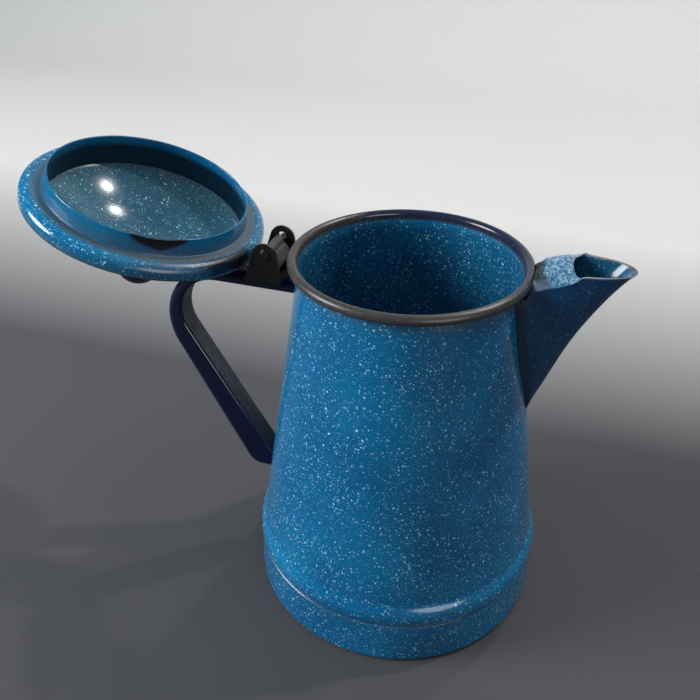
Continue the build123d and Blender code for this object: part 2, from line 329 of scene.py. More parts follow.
def gloss_enamel(name, deep, light, amount=1.0, rolled=False, banded=False, rounded=False):
    """Coloured glass with spatter. Grime, painted shade and chips follow masks painted on the
    piece.
    """
    finish = Finish(name)
    colour = finish.mix(finish.noise(40.0, 3.0).step(0.35, 0.70), deep, light)
    if amount:
        spatter = speckle(finish, amount)
        if banded:
            spatter = spatter * (0.15 + 1.1 * finish.mask("band"))
        colour = finish.mix(spatter, colour, PALE)
    if rolled:
        scratched = finish.noise(1.1, 5.0, rough=0.7)
        bare = (finish.mask("wear") + (scratched - 0.5) * 0.9).step(0.30, 0.62)
        glaze = finish.mix(scratched.step(0.45, 0.8), NAVY_GLASS, DULL_GLASS)
        rubbed = finish.mix(scratched.step(0.35, 0.75), RUBBED_DARK, RUBBED)
        colour = finish.mix(finish.mask("rim"), colour, finish.mix(bare, glaze, rubbed))
    streaks = finish.noise(2.2, 5.0, rough=0.65)
    dirt_and_shade = (finish.mask("grime_and_shade") * (0.35 + 1.3 * streaks)).clamp()
    flakes = (finish.mask("chips") + finish.noise(1.8, 4.0) - 1.0).step(0.0, 0.05)
    # The grime mask also carries painted shade, as on the wall beside the spout.
    colour = finish.mix(dirt_and_shade * 0.85, colour, GRIME_AND_SHADE)
    if banded:
        # Near-black where the collar's mask says so: a stain outside the tube, painted shade
        # inside it.
        colour = finish.mix(finish.mask("stain_and_shade"), colour, DARK_STAIN_AND_SHADE)
    colour = finish.mix(flakes, colour, IRON)
    ripple = finish.noise(5.0, 2.0) * 0.6 + finish.noise(1.2, 2.0) * 0.2 - flakes * 0.8
    matt = GLOSS + finish.noise(9.0, 4.0) * 0.06 + dirt_and_shade * 0.35 + flakes * 0.4
    if rolled:
        matt = matt + finish.mask("rim") * bare * 0.16
    over = {"Normal": round_edges(finish)} if rounded else {}
    return finish.set(Base_Color=colour, Roughness=matt.clamp(),
                      Normal=finish.bump(ripple, 0.35, 0.12, **over), IOR=GLASS_IOR)


# %% [markdown]
# The colours run from the blue of a thick coat to the lighter blue of a thin one. The
# inside was coated with a darker batch, and the dome of the lid with a greyer one. The
# handle and the knob are navy without spatter, deep enough to pass for black.

# %% Enamels of the pot
BODY = gloss_enamel("speckled_enamel", (0.0005, 0.113, 0.268), (0.0005, 0.163, 0.345),
                    rolled=True)
PAN = gloss_enamel("pan_enamel", (0.0005, 0.104, 0.250), (0.0005, 0.149, 0.322))
INSIDE = gloss_enamel("inside_enamel", (0.004, 0.080, 0.180), (0.006, 0.117, 0.240))
LID = gloss_enamel("lid_enamel", (0.026, 0.105, 0.165), (0.038, 0.140, 0.205))
COLLAR = gloss_enamel("collar_enamel", (0.001, 0.130, 0.285), (0.002, 0.170, 0.350),
                      amount=1.2, banded=True)
NAVY = gloss_enamel("handle_enamel", (0.0020, 0.0036, 0.022), (0.0030, 0.0060, 0.034),
                    amount=0.0, rounded=True)
KNOB = gloss_enamel("knob_enamel", (0.0022, 0.0035, 0.015), (0.0040, 0.0060, 0.030),
                    amount=0.0)
print("enamels:", ", ".join(m.name for m in (BODY, PAN, INSIDE, LID, COLLAR, NAVY, KNOB)))

# %% [markdown]
# ## Spout enamel
#
# The parts of the spout differ by where they lie and which way they look, so its finish
# reads just that and needs no painted masks: the roof looks up and caught most of the
# spatter, the sides look out and are painted a darker blue as painted shade, the weld by the
# rim is pale and ringed with soot, and the lip is worn to a purplish grey.

# %% Spout enamel
LIP_Z = box_mm("spout_shell")[1].z
SHADED_SIDE_DEEP, SHADED_SIDE_LIGHT = (0.001, 0.046, 0.122), (0.002, 0.066, 0.168)
ROOF_BLUE, HOLLOW_BLUE = (0.020, 0.100, 0.180), (0.006, 0.070, 0.130)
DULL_SPATTER = (0.36, 0.58, 0.74)
ROOT_SHADE, SOOT = (0.003, 0.005, 0.014), (0.009, 0.011, 0.012)
WELD_GREY = (0.30, 0.31, 0.31)
LIP_GREY, LIP_PURPLE = (0.24, 0.27, 0.30), (0.10, 0.07, 0.09)


def spout_enamel():
    """Enamel for the spout, placed by where a point is and which way its face looks."""
    finish = Finish("spout_enamel")
    x, y, z = finish.split("ShaderNodeSeparateXYZ", finish.place)
    facing = finish.node("ShaderNodeNewGeometry", output="Normal")
    _, across, up = finish.split("ShaderNodeSeparateXYZ", facing)
    flat_place = finish.vector("MULTIPLY", finish.place, (1, 1, 0))
    out = finish.vector("LENGTH", flat_place, output="Value")
    from_wall = out - cone_r(z)
    from_roll = ((out - ROLL_MIDDLE[0]).squared() + (z - RIM_Z).squared()).root() - ROLL_R

    roof = up.step(0.45, 0.75)
    sides = 1.0 - roof
    mostly_roof = 0.30 + 0.70 * roof
    hollow = (across * y).step(0.0, -1.0) * sides
    clouds = finish.noise(30.0, 3.0).step(0.35, 0.7)
    # Painted shade: the sides get a darker blue than the roof, which looks up into the light.
    ground = finish.mix(clouds, SHADED_SIDE_DEEP, SHADED_SIDE_LIGHT)
    ground = finish.mix(roof, ground, ROOF_BLUE)
    ground = finish.mix(hollow, ground, HOLLOW_BLUE)
    dense = finish.noise(1.3, 4.0, rough=0.65).step(0.40, 0.68) * roof
    spatter = (speckle(finish) * mostly_roof).either(dense * 0.62)
    colour = finish.mix(spatter, ground, DULL_SPATTER)

    ragged = (finish.noise(4.0, 3.0) - 0.5) * 2.0
    # Painted shade where the sides of the spout meet the wall.
    root = (from_wall + ragged).step(5.5, 0.8) * sides
    colour = finish.mix(root * 0.75, colour, ROOT_SHADE)
    cloudy = finish.noise(6.0, 4.0)
    near_side = y.step(0.0, -9.0)
    soot = ((cloudy - 0.5) * 7.0 + from_roll - near_side * 3.0).step(6.5, 1.5) * mostly_roof
    colour = finish.mix(soot * 0.95, colour, SOOT)
    run = (finish.noise(2.5, 4.0) - 0.5) * 3.0 + from_roll - 1.4
    bead = run.squared().step(0.16, 0.02) * roof * finish.noise(3.0, 3.0).step(0.42, 0.60)
    colour = finish.mix(bead * 0.6, colour, WELD_GREY)

    worn_edge = (z + (cloudy - 0.5) * 0.8).step(LIP_Z - 0.8, LIP_Z - 0.35)
    lip = worn_edge * x.step(70.0, 76.0)
    lip_colour = finish.mix(x.step(78.0, 90.0), LIP_GREY, LIP_PURPLE)
    colour = finish.mix(lip * 0.85, colour, lip_colour)

    ripple = finish.noise(5.0, 2.0) * 0.6 + dense * 0.12 + bead * 0.8 + soot * cloudy * 0.5
    matt = (0.13 + soot * 0.65 + cloudy * 0.06 + lip * 0.2).clamp()
    normal = finish.bump(ripple, 0.4, 0.14, Normal=round_edges(finish))
    return finish.set(Base_Color=colour, Roughness=matt, Normal=normal, IOR=GLASS_IOR)


SPOUT = spout_enamel()
print(f"spout enamel: {len(SPOUT.node_tree.nodes)} nodes, lip at {LIP_Z:.1f} mm")

# %% [markdown]
# ## Worn steel
#
# Where the enamel has gone, the sheet shows. The strip in the grip is rubbed to grey, and
# its grey streaks also stand in as a painted reflection. The bracket is black from fire and
# handling, and the leaf is bare and streaked along the pin. Streaks come from noise that is
# stretched in one direction.

# %% Worn steel finishes


def worn_steel(name, dark, bright, stretch, low, metal, roughness):
    """Steel whose bright streaks run along the axis that stretch leaves small."""
    finish = Finish(name)
    drawn = finish.vector("MULTIPLY", finish.place, stretch)
    streak = finish.node("ShaderNodeTexNoise", Vector=drawn, Scale=1.0, Detail=5.0,
                         Roughness=0.6)
    patches = finish.noise(3.0, 4.0)
    shine = (streak * 0.6 + patches * 0.4).step(low, low + 0.22)
    return finish.set(
        Base_Color=finish.mix(shine, dark, bright),
        Metallic=shine * metal,
        Roughness=roughness + patches * 0.25 - shine * 0.12,
        Normal=finish.bump(streak * 0.7 + patches * 0.6, 0.5, 0.15),
    )


BLACK = worn_steel("blackened_steel", (0.006, 0.006, 0.006), (0.030, 0.028, 0.026),
                   stretch=(0.9, 0.9, 0.9), low=0.55, metal=0.5, roughness=0.30)
BARE = worn_steel("bare_steel", (0.030, 0.028, 0.024), (0.125, 0.120, 0.105),
                  stretch=(2.2, 0.12, 2.2), low=0.42, metal=0.75, roughness=0.38)
# The strip's grey streaks are partly wear and partly a painted reflection.
STRIP = worn_steel("strip_enamel", (0.006, 0.009, 0.020), (0.036, 0.042, 0.048),
                   stretch=(0.25, 0.5, 0.25), low=0.45, metal=0.1, roughness=0.42)
print("worn finishes:", ", ".join(m.name for m in (BLACK, BARE, STRIP)))

# %% [markdown]
# ## Turned pieces
#
# The wall, the pan, the lid and the knob are spun or rolled, so each is a profile turned
# round an axis. More rings than the model has keep the highlights from breaking up. The
# rings are pushed in and out by a fraction of a millimetre, because a perfectly round
# pot reflects like a rendering and not like sheet steel. Points closer to the axis than
# AXIS_R stay where they are, so that they close to one point there.

# %% Lines and arcs of a profile


def line(a, b, count=2):
    """Points from a to b."""
    return [(a[0] + (b[0] - a[0]) * t, a[1] + (b[1] - a[1]) * t)
            for t in np.linspace(0, 1, count)]


def arc(middle, radius, start, end, count=12):
    """Points on an arc, angles in degrees."""
    return [(middle[0] + radius * math.cos(a), middle[1] + radius * math.sin(a))
            for a in np.radians(np.linspace(start, end, count))]


def dents(angle, z, size):
    """Slow unevenness of hand-worked sheet: three waves that never fall in step."""
    return size * (math.sin(3 * angle + z / 31) + 0.6 * math.sin(5 * angle - z / 17 + 1.3)
                   + 0.4 * math.sin(8 * angle + z / 11 + 0.4))


# %% Turning a profile
TURNS = 256
SAME_POINT, AXIS_R = 0.02, 1.0
WELD_DISTANCE = 1e-6
SOFT_UP_TO = math.radians(38)


def turned(name, profile, finish, slot, uneven=0.0):
    """Turns a closed outline of (radius, height) points round the pot's axis."""
    clean = [p for i, p in enumerate(profile)
             if i == 0 or math.dist(p, profile[i - 1]) > SAME_POINT]
    points, faces = [], []
    for k in range(TURNS):
        angle = 2 * math.pi * k / TURNS
        for r, z in clean:
            wide = r + (dents(angle, z, uneven) - 2 * uneven if r > AXIS_R else 0)
            points.append((wide * math.cos(angle), wide * math.sin(angle), z))
    rows = len(clean)
    for k in range(TURNS):
        for i in range(rows):
            j = (i + 1) % rows
            a, b = k * rows, (k + 1) % TURNS * rows
            faces.append((a + i, b + i, b + j, a + j))
    mesh = bpy.data.meshes.new(name)
    mesh.from_pydata([[c * MM for c in p] for p in points], [], faces)
    work = bmesh.new()
    work.from_mesh(mesh)
    bmesh.ops.remove_doubles(work, verts=work.verts, dist=WELD_DISTANCE)
    bmesh.ops.recalc_face_normals(work, faces=work.faces)
    work.to_mesh(mesh)
    work.free()
    mesh.shade_smooth()
    mesh.set_sharp_from_angle(angle=SOFT_UP_TO)
    piece = bpy.data.objects.new(name, mesh)
    bpy.context.collection.objects.link(piece)
    mesh.materials.append(finish)
    piece["slot"] = slot
    return piece


# %% [markdown]
# Wear is painted on the points of a piece by a rule of radius, height and angle, as a
# maker would point at it: so far from the seam, on this side. The finish reads it back as
# a mask. The last helper hands a piece to the frame, which says what solid it stands for.

# %% Painting wear and handing over


def clipped(value):
    """The value held between 0 and 1."""
    return min(1.0, max(0.0, value))


def near(value, middle, width):
    """1 at the middle, falling to 0 at width to either side."""
    return max(0.0, 1 - abs(value - middle) / width)


def paint(piece, name, rule):
    """Stores rule(radius, height, angle) on every point as a mask from 0 to 1."""
    values = []
    for vertex in piece.data.vertices:
        x, y, z = vertex.co / MM
        values.append(clipped(rule(math.hypot(x, y), z, math.atan2(y, x))))
    layer = piece.data.attributes.new(name, "FLOAT", "POINT")
    layer.data.foreach_set("value", values)


def hang(piece, body, nodes, swing=False):
    """Ends a piece: swings it open if it is drawn shut, and hands it to the frame."""
    if swing:
        piece.data.transform(SWING_OPEN)
    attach(piece, body)
    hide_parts(*nodes)
    print(f"{piece.name}: {len(piece.data.vertices)} points")


# %% [markdown]
# ## Wall and rim
#
# The wall is a tapered tube that swells a little over its lower seam. At the top the sheet
# is curled outward into a hollow bead. A pot is stood on its rim to dry and knocked
# against taps, so the bead has lost its blue and shows a grey-brown glaze.

# %% Wall
SWELL_Z, SWELL_END = CREASE_Z + 4.4, CREASE_Z + 11.4
SWELL_OUT = 1.6
CURL_START = -127
CURL_FOOT = ROLL_MIDDLE[1] + ROLL_R * math.sin(math.radians(CURL_START))
THROAT_Z = RIM_Z - 5


def swelling(inset):
    """Points of the swelling over the crease, worked out as one arc through three."""
    a = np.array((CREASE_R - inset, CREASE_Z))
    b = np.array((cone_r(SWELL_Z) + SWELL_OUT - inset, SWELL_Z))
    c = np.array((cone_r(SWELL_END) - inset, SWELL_END))
    # the middle of the circle is as far from a as from b and from c
    system = np.array((b - a, c - a)) * 2
    middle = np.linalg.solve(system, (b @ b - a @ a, c @ c - a @ a))
    start, end = (math.degrees(math.atan2(*(p - middle)[::-1])) for p in (a, c))
    return arc(tuple(middle), float(np.linalg.norm(a - middle)), start, end, 14)


wall_profile = (
    swelling(0)
    + line((cone_r(SWELL_END), SWELL_END), (cone_r(CURL_FOOT), CURL_FOOT), 60)
    + arc(ROLL_MIDDLE, ROLL_R, CURL_START, 180, 36)
    + line((RIM_R - 2 * ROLL_R, ROLL_MIDDLE[1]), (cone_r(THROAT_Z) - SHEET, THROAT_Z), 6)
    + line((cone_r(THROAT_Z - 1) - SHEET, THROAT_Z - 1),
           (cone_r(SWELL_END) - SHEET, SWELL_END), 60)
    + swelling(SHEET)[::-1]
)
wall = turned("wall", wall_profile, BODY, "speckled_enamel", 0.05)
print(f"wall profile: {len(wall_profile)} points, curl starts at {CURL_FOOT:.1f} mm")

# %% [markdown]
# The strainer behind the spout is drilled after the wall is turned. One mesh of all the
# drills is taken away from the wall in a single cut. The cut mesh then gets the inside
# enamel on every face that looks at the axis from below the bead.

# %% Strainer holes
HOLE_R, HOLE_PITCH, HOLE_TOP_Z, DRILL_LENGTH = 2.1, 6.0, RIM_Z - 6.2, 8.0
HOLE_ROWS = (3, 2, 3, 2, 1, 2, 1)


def drills():
    """A mesh of short rods along +X where the strainer holes go."""
    work = bmesh.new()
    turn = Matrix.Rotation(math.pi / 2, 4, "Y")
    for row, count in enumerate(HOLE_ROWS):
        z = HOLE_TOP_Z - row * HOLE_PITCH
        for k in range(count):
            y = (k - (count - 1) / 2) * HOLE_PITCH
            spot = Matrix.Translation(Vector((cone_r(z), y, z)) * MM)
            bmesh.ops.create_cone(work, cap_ends=True, segments=24, radius1=HOLE_R * MM,
                                  radius2=HOLE_R * MM, depth=DRILL_LENGTH * MM,
                                  matrix=spot @ turn)
    mesh = bpy.data.meshes.new("drills")
    work.to_mesh(mesh)
    work.free()
    return mesh


cutter = bpy.data.objects.new("drills", drills())
bpy.context.collection.objects.link(cutter)
cut = wall.modifiers.new("strainer", "BOOLEAN")
cut.object = cutter
cut.operation = "DIFFERENCE"
pierced = wall.evaluated_get(bpy.context.evaluated_depsgraph_get())
wall_mesh = bpy.data.meshes.new_from_object(pierced)
wall.modifiers.clear()
wall.data = wall_mesh
bpy.data.objects.remove(cutter)
print(f"{sum(HOLE_ROWS)} strainer holes")

# %% Enamel of the inside
wall_mesh.materials.clear()
for enamel in (BODY, INSIDE):
    wall_mesh.materials.append(enamel)
for face in wall_mesh.polygons:
    x, y, z = face.center / MM
    below_bead = z < RIM_Z - 0.2
    inner_half = math.hypot(x, y) < cone_r(z) - SHEET / 2
    looks_in = face.normal.x * x + face.normal.y * y < 0
    face.material_index = int(below_bead and inner_half and looks_in)
print("inside faces:", sum(face.material_index for face in wall_mesh.polygons))

# %% [markdown]
# The bead is rubbed barest over the handle and the front. Soot sits in the crease, painted
# shade runs down both sides of the spout, and a brown ring hangs under the bead.

# %% Wear of the wall
BAREST_AT = math.radians(-125)
ROOT_LOW_Z, ROOT_HIGH_Z, ROOT_NARROW, ROOT_WIDE = 113, 181, 1.5, 12.0


def on_roll(r, z, angle):
    """1 on the bead, 0 on the rest of the wall."""
    return 1.0 if z > CURL_FOOT - 0.4 and r > NECK_R - 0.02 else 0.0


def roll_wear(r, z, angle):
    """How bare the bead is; its outer side under the middle keeps its glaze."""
    bare_side = 0.5 + 0.5 * math.cos(angle - BAREST_AT)
    kept = (r > ROLL_MIDDLE[0]) * near(z, RIM_Z - ROLL_R, 3.0)
    return 1.5 * bare_side - 0.15 - 1.6 * kept


def spout_root(r, z, angle):
    """Painted shade along both sides of the spout, whose root widens from its tip upward."""
    climbed = clipped((z - ROOT_LOW_Z) / (ROOT_HIGH_Z - ROOT_LOW_Z))
    half = ROOT_NARROW + (ROOT_WIDE - ROOT_NARROW) * climbed
    alongside = near(abs(r * math.sin(angle)) - half, 0.8, 3.0)
    return alongside * (math.cos(angle) > 0) * (ROOT_LOW_Z - 3 < z < CURL_FOOT - 0.6)


def wall_grime_and_shade(r, z, angle):
    """Soot in the crease, painted shade along the spout, and a ring under the bead."""
    crease = (r > CREASE_R - 0.4) * 0.55 * near(z, CREASE_Z, 1.4)
    # Painted shade beside the spout, in the corner where it meets the wall.
    spout_corner_shade = (r > cone_r(z) - SHEET / 2) * 0.85 * spout_root(r, z, angle)
    ring = (r > NECK_R) * near(z, CURL_FOOT - 1, 6) * (0.30 + 0.8 * near(angle, -0.35, 0.9))
    return crease + spout_corner_shade + ring


paint(wall, "rim", on_roll)
paint(wall, "wear", roll_wear)
paint(wall, "grime_and_shade", wall_grime_and_shade)
paint(wall, "chips", lambda r, z, a: (r > CREASE_R - 0.4) * 0.30 * near(z, CREASE_Z, 0.8))
hang(wall, "pot", ["body_wall"])

# %% [markdown]
# ## Base pan
#
# A shallow cup whose wall laps up inside the body. The joint is soldered and glazed over,
# and a thread of soot stays in the crease.

# %% Base pan
FOOT_ROUND, LAP = 2.6, 6.0
FLAT_R = FOOT_R - FOOT_ROUND
LAP_R = CREASE_R - SHEET
pan_profile = (
    [(0.0, 0.0)]
    + line((FLAT_R / 2, 0), (FLAT_R, 0))
    + arc((FLAT_R, FOOT_ROUND), FOOT_ROUND, -90, 0)
    + line((FOOT_R, FOOT_ROUND), (CREASE_R + 0.5, CREASE_Z - 0.5), 12)
    + [(CREASE_R + 0.12, CREASE_Z - 0.12), (CREASE_R - 0.3, CREASE_Z), (LAP_R, CREASE_Z)]
    + [(LAP_R, CREASE_Z + LAP), (LAP_R - SHEET, CREASE_Z + LAP)]
    + [(LAP_R - SHEET, CREASE_Z - SHEET)]
    + line((FOOT_R - SHEET, FOOT_ROUND + 1), (FOOT_R - SHEET, FOOT_ROUND))
    + arc((FLAT_R, FOOT_ROUND), FOOT_ROUND - SHEET, 0, -90)
    + [(FLAT_R / 2, SHEET), (0.0, SHEET)]
)
pan = turned("pan", pan_profile, PAN, "pan_enamel", 0.05)
paint(pan, "grime_and_shade", lambda r, z, a: 0.35 * near(z, CREASE_Z, 1.2) + 0.5 * near(z, 0, 2.4))
paint(pan, "chips", lambda r, z, a: 0.46 * near(z, 0.4, 2.0) + 0.28 * near(z, CREASE_Z, 0.6))
hang(pan, "pot", ["base_pan"])

# %% [markdown]
# ## Lid
#
# The lid is made of two sheets. A collar hangs into the mouth and turns out into a flat
# seat and a rounded band. A domed sheet closes the top. Both are drawn shut over the rim
# and then swung to the position in which the model rests. Seen open, the dome shows its
# hollow side, spattered like the rest.

# %% Dome of the lid
LID_R, SEAT_Z = 57.4, RIM_Z + ROLL_SOLID_R + 0.35
SEAM_Z = SEAT_Z + 5.8
EDGE_TOP = SEAM_Z + SHEET
DOME_R, DOME_FOOT, DOME_RISE = LID_R - 10.4, EDGE_TOP + 2.4, 17.2
DOME_TOP = DOME_FOOT + DOME_RISE
COLLAR_R = NECK_R - SHEET - 1.3


def dome_points(drop, count=40):
    """Top sheet from the edge to the middle, lowered by drop."""
    radius = (DOME_R**2 + DOME_RISE**2) / (2 * DOME_RISE)
    foot_angle = math.degrees(math.asin(1 - DOME_RISE / radius))
    flat = line((LID_R, EDGE_TOP - drop), (DOME_R, DOME_FOOT - drop), 6)
    return flat + arc((0, DOME_TOP - drop - radius), radius, foot_angle, 90, count)


def dome_grime(r, z, angle):
    """Soot where the collar stands on the dome, and along the edge."""
    return 0.5 * near(r, COLLAR_R - SHEET, 2.4) + 0.35 * near(r, LID_R, 2)


dome = turned("dome", dome_points(0) + dome_points(SHEET)[::-1], LID, "lid_enamel", 0.04)
paint(dome, "grime_and_shade", dome_grime)
hang(dome, "lid", ["lid_dome"], swing=True)

# %% [markdown]
# The collar is one pressing with four parts: a tube that narrows towards its free edge,
# a flat seat, a groove and the rounded band. Its profile runs up the outside of the tube,
# out along the seat, round the band, and back on the other side of the sheet.

# %% Collar of the lid
BAND_R, BAND_WIDTH, COLLAR_DEPTH, COLLAR_TAPER = 4.0, 5.6, 7.6, 1.2
BAND_X, BAND_Z = LID_R - BAND_R, SEAT_Z + BAND_R
SEAT_END = LID_R - BAND_WIDTH
GROOVE_Z = BAND_Z - math.sqrt(BAND_R**2 - (BAND_X - SEAT_END) ** 2)
FREE_Z = SEAT_Z - COLLAR_DEPTH
TUBE_IN_R = COLLAR_R - SHEET
TUBE_TOP = DOME_FOOT - SHEET + 0.05
ridge = math.degrees(math.atan2(GROOVE_Z - BAND_Z, SEAT_END - BAND_X))
inner_ridge = math.degrees(math.atan2(GROOVE_Z + SHEET - BAND_Z, SEAT_END - BAND_X))
collar_profile = (
    arc((COLLAR_R - COLLAR_TAPER - SHEET / 2, FREE_Z + SHEET / 2), SHEET / 2, -180, 0, 7)
    + line((COLLAR_R - COLLAR_TAPER, FREE_Z + SHEET), (COLLAR_R, GROOVE_Z - 0.5), 8)
    + arc((COLLAR_R + 0.5, GROOVE_Z - 0.5), 0.5, 180, 90, 4)
    + line((COLLAR_R + 1, GROOVE_Z), (SEAT_END - 0.2, GROOVE_Z), 4)
    + arc((BAND_X, BAND_Z), BAND_R, ridge, 0, 20)
    + line((LID_R, BAND_Z), (LID_R, SEAM_Z), 4)
    + line((LID_R - SHEET, SEAM_Z), (LID_R - SHEET, BAND_Z), 3)
    + arc((BAND_X, BAND_Z), BAND_R - SHEET, 0, inner_ridge, 10)
    + line((SEAT_END, GROOVE_Z + SHEET), (COLLAR_R, GROOVE_Z + SHEET), 3)
    + line((COLLAR_R, TUBE_TOP), (TUBE_IN_R, TUBE_TOP))
    + line((TUBE_IN_R, TUBE_TOP - 0.5), (TUBE_IN_R, GROOVE_Z), 6)
    + line((TUBE_IN_R, GROOVE_Z - 1), (TUBE_IN_R - COLLAR_TAPER, FREE_Z + SHEET), 8)
)
collar = turned("collar", collar_profile, COLLAR, "collar_enamel", 0.04)
print(f"collar: seat at {SEAT_Z:.1f} mm, free edge at {FREE_Z:.1f} mm")

# %% [markdown]
# Years of steam and coffee have marked the collar most of all. Soot lies on the flat seat,
# a dark crescent has grown outside the tube, the inside of the tube is painted near-black as
# painted shade, and the seam at the foot of the dome is chipped where the lid has been knocked.

# %% Wear of the collar
GRIME_AT, TARNISH_AT, HINGE_AT = (math.radians(v) for v in (200, 218, 198))
CRESCENT_AT, CHIPPED_AT = math.radians(-125), math.radians(-100)


def seat_grime(r, z, angle):
    """Soot on the flat seat, worst by the hinge and on the near side."""
    side = 0.72 + 0.28 * math.cos(angle - GRIME_AT)
    tarnish = near(r, LID_R - 2.5, 6.0) * max(0.0, math.cos(angle - TARNISH_AT)) ** 5
    seat = 1.3 * near(r, (COLLAR_R + SEAT_END) / 2, 3.4) * (z < GROOVE_Z + 0.3)
    seam = 0.9 * near(z, SEAM_Z, 0.8) * (r > BAND_X)
    return side * (seat + seam) + 0.55 * tarnish * (z < BAND_Z)


def stain_and_painted_shade(r, z, angle):
    """A dark crescent outside the tube, painted shade inside it, and a darker patch on the band
    by the hinge.
    """
    side = near(angle, CRESCENT_AT, 0.27)
    crescent = clipped(0.5 + 5.6 * side ** 0.5 - (z - FREE_Z))
    crescent = crescent * (side > 0) * (r < COLLAR_R + 0.2)
    # Painted shade: inside the tube the colour goes near-black from 3 mm above the free edge.
    painted_shade_inside = clipped((z - FREE_Z - 3.0) / 3.0)
    narrowed = COLLAR_TAPER * max(0.0, (GROOVE_Z - z) / (GROOVE_Z - FREE_Z))
    outside = r > COLLAR_R - SHEET / 2 - narrowed
    # Darker on the outer band near the hinge.
    turned_by = abs((angle - HINGE_AT + math.pi) % (2 * math.pi) - math.pi)
    dark_by_hinge = clipped(2.0 - turned_by / 0.19) * (r > SEAT_END + 1.5)
    return max(crescent, dark_by_hinge) if outside else 0.93 * painted_shade_inside


def collar_chips(r, z, angle):
    """Chips round the free edge, and a run of them where the dome meets the tube."""
    knocked = near(z, TUBE_TOP, 3.2) * (r < COLLAR_R - SHEET / 2)
    return 0.47 * near(z, FREE_Z, 0.7) + 0.9 * knocked * near(angle, CHIPPED_AT, 0.42)


paint(collar, "stain_and_shade", stain_and_painted_shade)
paint(collar, "grime_and_shade", seat_grime)
paint(collar, "band", lambda r, z, a: 1.0 if r > SEAT_END - 0.3 else 0.0)
paint(collar, "chips", collar_chips)
hang(collar, "lid", ["lid_collar"], swing=True)

# %% [markdown]
# ## Knob
#
# A turned ball on a short neck, glazed almost black. Two quarter ovals make it, a flatter
# one over the neck and a taller one on top. With the lid open it hangs underneath.

# %% Knob
KNOB_R, KNOB_NECK, KNOB_FOOT = 11.5, 6.6, 8.2
FULLEST_Z, NECK_Z, KNOB_TOP = DOME_TOP + 11.2, DOME_TOP + 2.8, DOME_TOP + 22.5
knob_foot = [
    (0.0, DOME_TOP - 0.4), (KNOB_FOOT, DOME_TOP - 0.55), (KNOB_FOOT, DOME_TOP + 0.5),
    (KNOB_FOOT - 0.4, DOME_TOP + 1.0), (KNOB_NECK, NECK_Z),
]
under_ball = [
    (KNOB_NECK + (KNOB_R - KNOB_NECK) * math.sin(t),
     FULLEST_Z - (FULLEST_Z - NECK_Z) * math.cos(t))
    for t in np.linspace(0.1, math.pi / 2, 14)
]
over_ball = [
    (KNOB_R * math.cos(t), FULLEST_Z + (KNOB_TOP - FULLEST_Z) * math.sin(t))
    for t in np.linspace(0.05, math.pi / 2, 18)
]
ball = turned("ball", knob_foot + under_ball + over_ball, KNOB, "knob_enamel", 0.02)
paint(ball, "grime_and_shade", lambda r, z, a: 0.8 * near(z, DOME_TOP + 0.8, 2.0))
paint(ball, "chips", lambda r, z, a: 0.44 * near(z, KNOB_TOP, 1.5))
hang(ball, "lid", ["knob"], swing=True)

# %% [markdown]
# ## Spout
#
# The spout starts as a copy of the solid's mesh. On the real pot its roof climbs out of
# the rim higher than the solid's and leans a little to the near side, so the copy's roof
# is raised there. The lift fades out towards the mouth, down the sides and into the wall,
# and it stops short of the lid, which comes down over the roof when it is shut.

# %% Spout
ROOF_LIFT, LIFT_REACH = 6.0, 21.0
ROOF_LEAN, LEAN_START, LEAN_REACH = 0.18, 17.0, 8.0
SIDE_FOOT_Z, SIDE_RISE, ROOT_REACH = 164.0, 13.0, 5.0
LID_GAP = 0.5
MODEL_SOFT_UP_TO = math.radians(30)


def lid_over(r):
    """Height of the rounded band of the shut lid at radius r, less a gap all round."""
    reach = BAND_R + LID_GAP
    return BAND_Z - math.sqrt(max(0.0, reach**2 - max(0.0, r - BAND_X) ** 2))


def raised(x, y, z):
    """New height of a point of the spout."""
    out, r = x - NECK_R, math.hypot(x, y)
    lift = ROOF_LIFT * clipped(1 - out / LIFT_REACH)
    lean = ROOF_LEAN * y * clipped(1 - (out - LEAN_START) / LEAN_REACH)
    share = clipped((z - SIDE_FOOT_Z) / SIDE_RISE) * clipped((out + 1.0) / ROOT_REACH)
    lifted = z + (lift + lean) * share
    return max(z, min(lifted, lid_over(r))) if r < LID_R + LID_GAP else lifted


spout = bpy.data.objects.new("spout", NODES["spout_shell"].data.copy())
bpy.context.collection.objects.link(spout)
for point in spout.data.vertices:
    point.co.z = raised(*(point.co / MM)) * MM
spout.data.materials.clear()
spout.data.materials.append(SPOUT)
spout.data.shade_smooth()
spout.data.set_sharp_from_angle(angle=MODEL_SOFT_UP_TO)
spout["slot"] = "spout_enamel"
hang(spout, "pot", ["spout_shell"])

# %% [markdown]
# ## Pieces that keep the model's own mesh
#
# The handle, its strip, the bracket, the pin and the leaf are already true in the model,
# so they keep its mesh. Their faces are shaded smooth up to an angle, and the enamel of
# the handle also rounds its edges by a fraction of a millimetre, where light catches them.

# %% Finishes for the model's own pieces
FINISH_OF = {
    "handle_shell": NAVY, "handle_strip": STRIP,
    "hinge_bracket": BLACK, "hinge_pin": BLACK, "lid_leaf": BARE,
}
for name, finish in FINISH_OF.items():
    mesh = NODES[name].data
    mesh.materials.clear()
    mesh.materials.append(finish)
    mesh.shade_smooth()
    mesh.set_sharp_from_angle(angle=MODEL_SOFT_UP_TO)
print("finished as they are:", ", ".join(FINISH_OF))

# %% [markdown]
# ## Floor
#
# Glass shows what stands round it. A floor that is dark near the pot keeps its blue deep,
# and as the floor runs back it pales and curves up, so that the lid and the spout stand
# out against it. The change is in the floor's own colour, with no more light on the pot.

